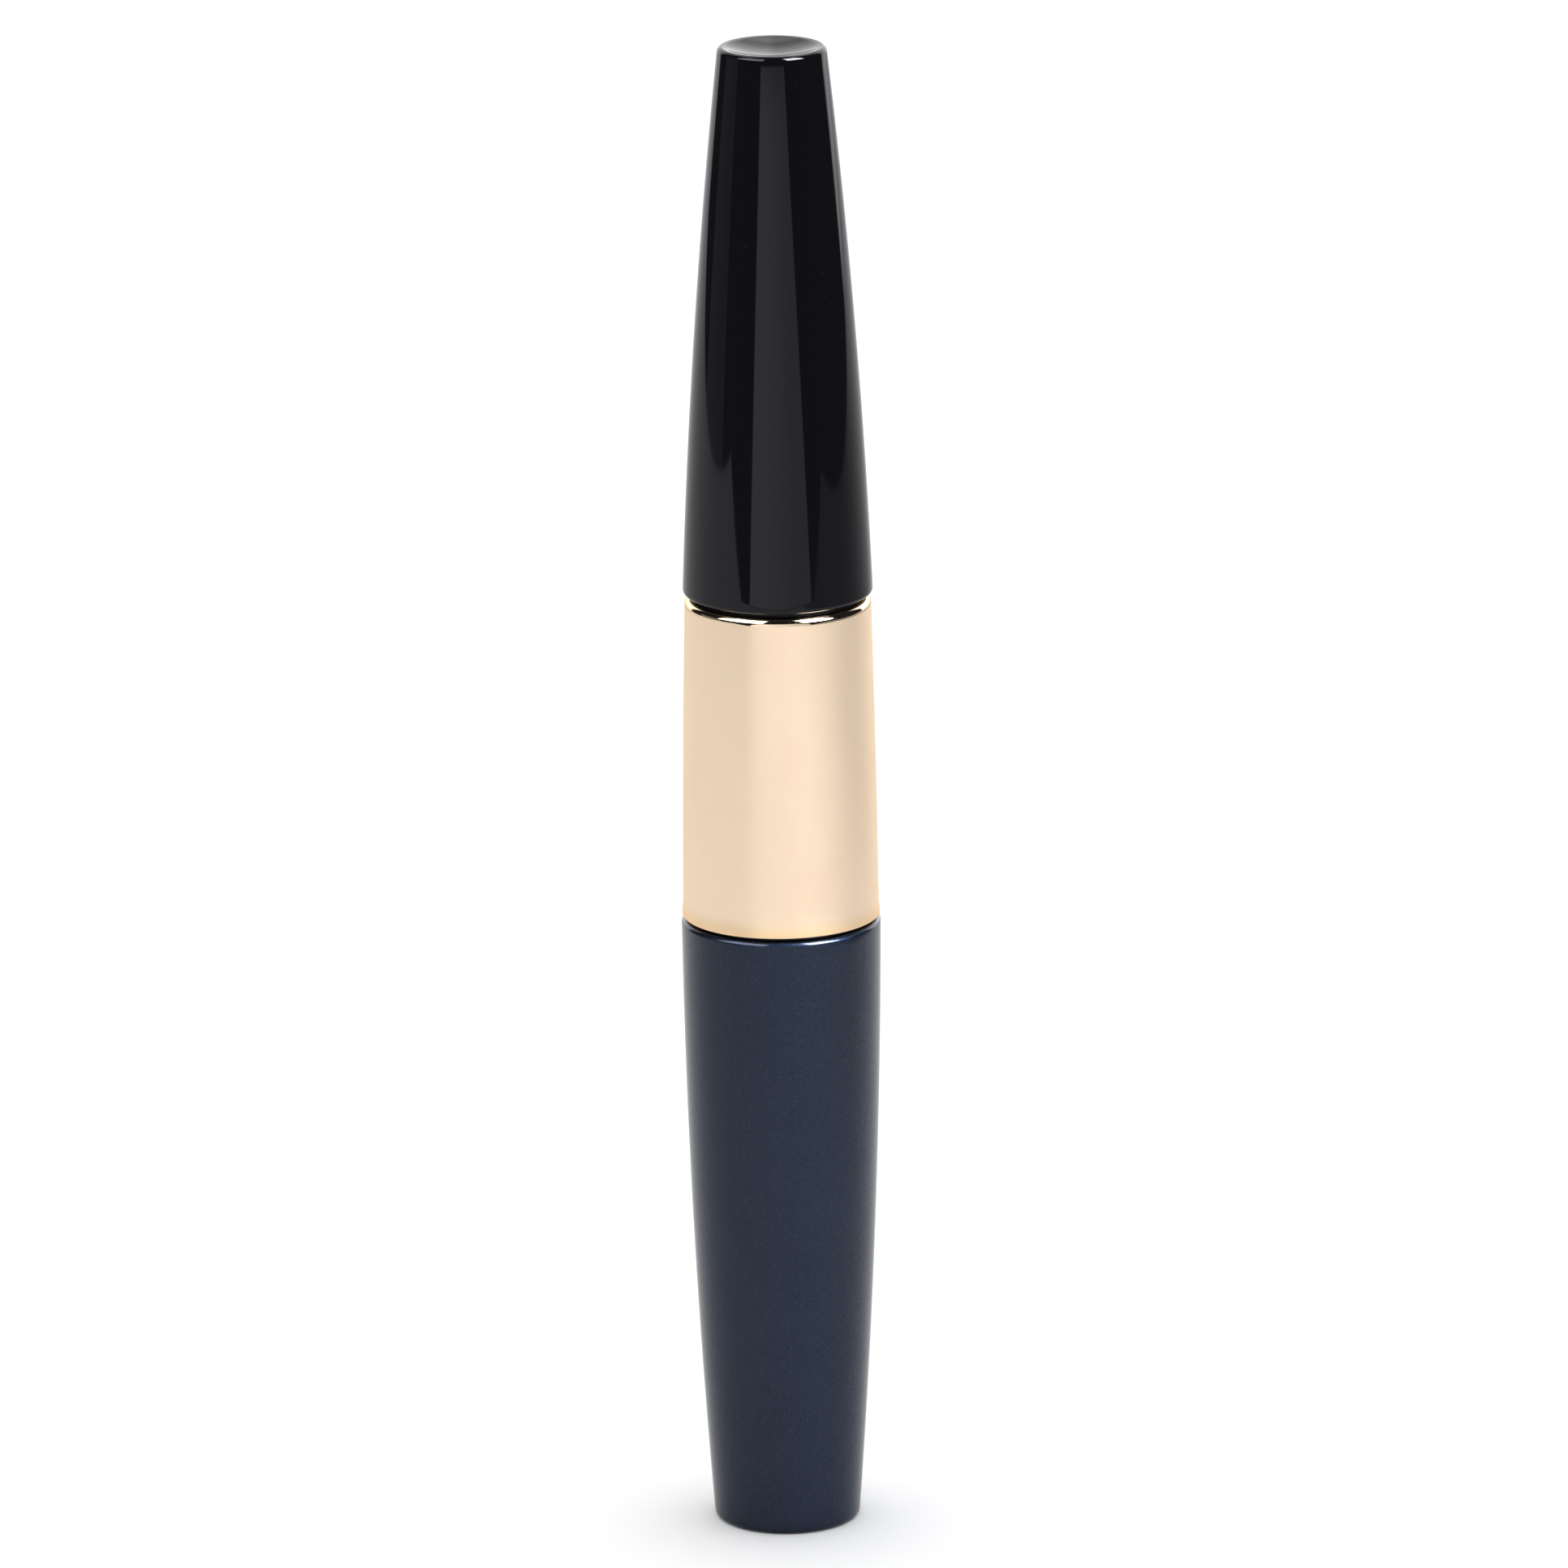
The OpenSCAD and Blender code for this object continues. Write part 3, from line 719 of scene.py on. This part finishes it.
def brush_fibres():
    """Nylon fibres held across the twisted wire, so that their ends run in two helices."""
    draw = random.Random(7)
    end_space, tip_space, inner_r = 0.25, 0.06, 0.12
    fibres = []
    for i in range(FIBRE_COUNT):
        t = (i + draw.random()) / FIBRE_COUNT
        z = BRUSH_Z0 + end_space + (BRUSH_Z1 - BRUSH_Z0 - 2 * end_space) * t
        angle = twist(z) + draw.gauss(0, ANGLE_STRAY)
        for end in (0, math.pi):
            reach = brush_profile(t) * draw.uniform(0.93, 0.995)
            rise = draw.gauss(0, RISE_STRAY)
            sway = draw.gauss(0, BEND_STRAY)
            path, radii = [], []
            for k in range(FIBRE_POINTS):
                share = k / (FIBRE_POINTS - 1)
                r = inner_r + (reach - inner_r) * share
                a = angle + end + sway * share ** 2
                height = z + rise * share ** 1.5
                height = min(max(height, BRUSH_Z0 + tip_space), BRUSH_Z1 - tip_space)
                path.append(Vector((r * math.cos(a), r * math.sin(a), height)))
                radii.append(FIBRE_R * (1 - 0.55 * share ** 2))
            fibres.append(tube(path, radii, 5))
    return piece("brush_fibres", fibres, "cap", "brush_bristles", [nylon()])


# ---------------------------------------------------------------- studio

# Panels that reflections see: azimuth of the centre from the camera's side (positive to the
# right), half width, elevation of the centre, half height, softness, in degrees, and brightness.
# Panels that overlap add up
STUDIO = {
    "key": (52, 20, 38, 22, 3, 24.0),
    "fill": (-49.5, 30.5, 38, 22, 3, 4.5),
    "back wall, left": (-156, 24, 15, 50, 5, 1.15),
    "back wall, right": (152.5, 27.5, 15, 50, 5, 1.55),
    "back wall, middle": (180, 50, 17, 17, 12, 0.3),
    "back wall, top": (180, 50, 57, 12, 10, 1.0),
    "side card": (-91, 17, 0, 12, 2, 0.2),
}
AMBIENT = 0.02
DOME = 1.44
# How much brighter the dome is behind the tube than in the middle
DOME_TILT = 0.4
CAMERA_WHITE = 1.0

# Floor, in metres: its ends to the left, right and front, and its depth behind the tube
FLOOR_LEFT, FLOOR_RIGHT, FLOOR_FRONT, FLOOR_BACK = -0.61, 0.58, -0.345, 0.9


def panel(sh, azimuth, elevation, centre, half, high, half_high, soft, strength):
    """Light of one panel in a direction."""
    away = sh.math("SUBTRACT", azimuth, math.radians(centre))
    away = sh.math("ABSOLUTE", sh.math("WRAP", away, math.pi, -math.pi))
    above = sh.math("ABSOLUTE", sh.math("SUBTRACT", elevation, math.radians(high)))
    sides = [math.radians(half - soft / 2), math.radians(half + soft / 2)]
    ends = [math.radians(half_high - soft / 2), math.radians(half_high + soft / 2)]
    mask = sh.math("MULTIPLY", sh.remap(away, sides, (1.0, 0.0)), sh.remap(above, ends, (1.0, 0.0)))
    return sh.math("MULTIPLY", mask, strength)


def choose(sh, switch, off, on):
    """off where switch is 0 and on where it is 1."""
    return sh.add("ShaderNodeMix", {0: switch, 2: off, 3: on}, data_type="FLOAT").outputs[0]


def studio_world():
    """White to the camera, panels on a dark surround to reflections, and a dome to the rest."""
    world = bpy.data.worlds.new("studio")
    bpy.context.scene.world = world
    world.cycles.sampling_method = "NONE"
    sh = Shader(world)
    direction = sh.add("ShaderNodeTexCoord").outputs["Generated"]
    xyz = sh.add("ShaderNodeSeparateXYZ", {"Vector": direction}).outputs
    azimuth = sh.math("ARCTAN2", xyz["X"], sh.math("MULTIPLY", xyz["Y"], -1.0))
    elevation = sh.math("ARCSINE", xyz["Z"])
    panels = AMBIENT
    for values in STUDIO.values():
        panels = sh.math("ADD", panel(sh, azimuth, elevation, *values), panels)
    dome = sh.math("MULTIPLY_ADD", xyz["Y"], DOME * DOME_TILT, DOME)
    path = sh.add("ShaderNodeLightPath").outputs
    seen = choose(sh, path["Is Glossy Ray"], dome, panels)
    seen = choose(sh, path["Is Camera Ray"], seen, CAMERA_WHITE)
    background = sh.tree.nodes["Background"]
    sh.tree.links.new(seen, background.inputs["Strength"])
    background.inputs["Color"].default_value = (1, 1, 1, 1)


def sheet(name, corners, look):
    """One flat four-sided piece of the studio, in metres."""
    mesh = bpy.data.meshes.new(name)
    mesh.from_pydata(corners, [], [(0, 1, 2, 3)])
    made = bpy.data.objects.new(name, mesh)
    bpy.context.scene.collection.objects.link(made)
    mesh.materials.append(look)
    return made


def only_in_reflections(made):
    made.visible_camera = False
    made.visible_diffuse = False
    made.visible_shadow = False


def floor_corners(height):
    return [(FLOOR_LEFT, FLOOR_FRONT, height), (FLOOR_RIGHT, FLOOR_FRONT, height),
            (FLOOR_RIGHT, FLOOR_BACK, height), (FLOOR_LEFT, FLOOR_BACK, height)]


def floor():
    look, _, _ = material("studio_floor", Base_Color=(0.8, 0.8, 0.8), Roughness=0.9,
                          Specular_IOR_Level=0.0)
    sheet("floor", floor_corners(0), look)


def reflected_floor():
    """The floor as reflections see it, with painted shade: greyer than in direct view, and darkest in
    front on the right.
    """
    look, sh, surface = material("reflected_floor", Roughness=0.9, Specular_IOR_Level=0.0)
    spot = sh.add("ShaderNodeSeparateXYZ", {"Vector": sh.place()}).outputs
    # Painted shade: the floor's grey darkens towards the front and the right, where less light reaches it
    left = sh.mix(sh.remap(spot["Y"], (250.0, 650.0)), (0.54, 0.54, 0.54), (0.72, 0.72, 0.72))
    right = sh.mix(sh.remap(spot["Y"], (0.0, 500.0)), (0.21, 0.21, 0.21), (0.6, 0.6, 0.6))
    right_part = sh.remap(spot["X"], (190.0, 210.0))
    floor_shade_grey = sh.mix(right_part, left, right)
    connect(sh, surface, Base_Color=floor_shade_grey)
    only_in_reflections(sheet("reflected_floor", floor_corners(0.0002), look))


def front_card():
    """Pale card standing past the floor's front end, seen only in reflections. It narrows upwards."""
    y = -0.4
    base_left, base_right, base_z = -0.276, 0.35, -0.012
    top_left, top_right, top_z = -0.158, 0.166, 0.148
    corners = [(base_left, y, base_z), (base_right, y, base_z), (top_right, y, top_z),
               (top_left, y, top_z)]
    look, sh, surface = material("lit_card", Base_Color=(0, 0, 0), Roughness=1.0,
                                 Specular_IOR_Level=0.0, Emission_Color=(1, 1, 1))
    spot = sh.add("ShaderNodeSeparateXYZ", {"Vector": sh.place()}).outputs
    across = sh.remap(spot["X"], (-160.0, 220.0), (1.05, 0.72))
    upwards = sh.remap(spot["Z"], (124.0, 146.0), (1.0, 0.5))
    connect(sh, surface, Emission_Strength=sh.math("MULTIPLY", across, upwards))
    only_in_reflections(sheet("front_card", corners, look))


def camera():
    elevation, distance, roll = math.radians(15.6), 1.1, math.radians(-0.62)
    target = Vector((0.00038, 0, 0.06914))
    back = Vector((0, -math.cos(elevation), math.sin(elevation)))
    data = bpy.data.cameras.new("camera")
    data.sensor_width = 36
    data.lens = 280.5
    data.clip_start, data.clip_end = 0.1, 20
    made = bpy.data.objects.new("camera", data)
    bpy.context.scene.collection.objects.link(made)
    made.location = target + back * distance
    made.rotation_mode = "QUATERNION"
    made.rotation_quaternion = (-back).to_track_quat("-Z", "Y") @ Quaternion((0, 0, 1), roll)
    bpy.context.scene.camera = made


def display():
    settings = bpy.context.scene.view_settings
    settings.view_transform = "Standard"
    settings.gamma = 0.855


camera()
studio_world()
floor()
reflected_floor()
front_card()
display()

navy_bottle()
foot_film()
threaded_vial()
mascara_paste()
wiper_funnel()
black_slip_ring()
sealing_washer()
gloss_cap()
gold_band()
cap_insert()
wand_stem()
twisted_core()
brush_fibres()
